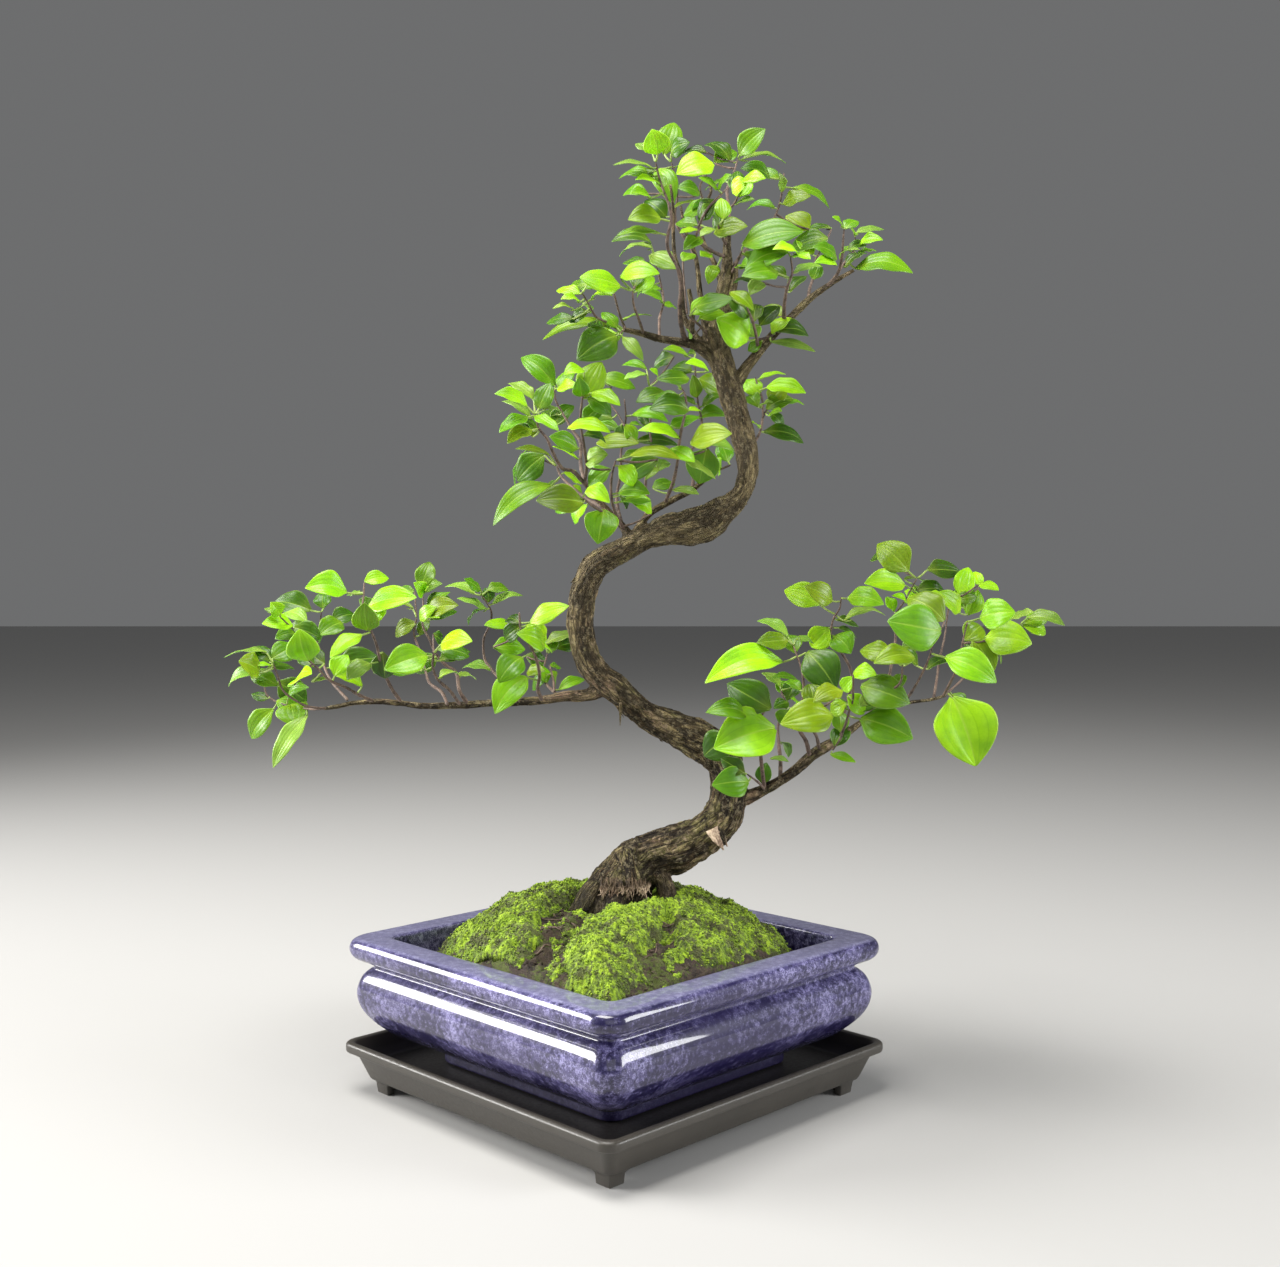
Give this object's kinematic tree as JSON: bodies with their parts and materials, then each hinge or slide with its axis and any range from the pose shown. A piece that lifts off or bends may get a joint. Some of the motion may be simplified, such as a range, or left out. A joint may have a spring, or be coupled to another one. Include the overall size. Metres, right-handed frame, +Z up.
{
  "type": "potted bonsai tree",
  "caption": "Indoor bonsai with an S-curved trunk and leafy shoots, rooted in moss-covered soil in a square glazed pot that stands in a square drip tray.",
  "frame": {"origin": "on the ground under the middle of the object's bounding box, at the undersides of the tray's feet", "axes": "+Z up along the trunk's height; -Y the front, where a corner of the square pot points at the viewer; +X to the right seen from the front"},
  "size_m": [0.4126, 0.2762, 0.5046],
  "materials": {
    "tray_plastic": "satin dark grey-brown moulding",
    "pot_glaze": "glossy mottled navy and grey-violet glaze",
    "soil": "crumbly brown potting soil",
    "moss": "crumbly yellow-green moss",
    "bark": "rough olive-tan bark with dark streaks",
    "leaf_deep": "deep green satin leaf",
    "leaf_green": "mid-green satin leaf",
    "leaf_lime": "bright lime-green satin leaf",
    "leaf_olive": "olive yellow-green satin leaf",
    "leaf_pale": "pale grey-green leaf underside"
  },
  "bodies": {
    "root": {"crown_fork_right": "leaf_lime", "crown_fork_tall": "leaf_green", "crown_front_green": "leaf_green", "crown_front_olive": "leaf_olive", "crown_leader_top": "leaf_deep", "crown_left_back": "leaf_deep", "crown_left_inner": "leaf_green", "crown_left_lower": "leaf_deep", "crown_left_mid": "leaf_lime", "crown_left_tall": "leaf_lime", "crown_left_tip": "leaf_deep", "crown_low_right": "leaf_deep", "crown_right_end": "leaf_green", "crown_right_signature": "leaf_green", "crown_right_tall": "leaf_deep", "crown_twisted": "leaf_lime", "drip_tray": "tray_plastic", "left_inner_first": "leaf_olive", "left_inner_second": "leaf_lime", "left_inner_third": "leaf_green", "left_mid_tall": "leaf_lime", "left_near_broad": "leaf_lime", "left_near_low": "leaf_pale", "left_near_tall": "leaf_pale", "left_outer_high": "leaf_deep", "left_outer_low": "leaf_lime", "left_tip_lower": "leaf_deep", "left_tip_upper": "leaf_pale", "mid_centre_low": "leaf_deep", "mid_centre_tall": "leaf_green", "mid_left_front": "leaf_olive", "mid_left_light": "leaf_lime", "mid_left_long": "leaf_pale", "mid_left_low": "leaf_green", "mid_left_tall": "leaf_green", "mid_right_end": "leaf_olive", "mid_right_first": "leaf_green", "mid_right_second": "leaf_green", "mid_right_third": "leaf_lime", "moss_front": "moss", "moss_left": "moss", "moss_right": "moss", "moss_small": "moss", "pot": "pot_glaze", "right_first": "leaf_deep", "right_fourth": "leaf_olive", "right_inner_low": "leaf_lime", "right_mid_tall": "leaf_lime", "right_outer_big": "leaf_green", "right_outer_low": "leaf_green", "right_outer_tall": "leaf_olive", "right_second": "leaf_green", "right_third": "leaf_lime", "right_tip_first": "leaf_lime", "right_tip_hanging": "leaf_lime", "right_tip_second": "leaf_lime", "soil": "soil", "trunk": "bark", "trunk_right_sprig": "leaf_deep"}
  },
  "joints": []
}
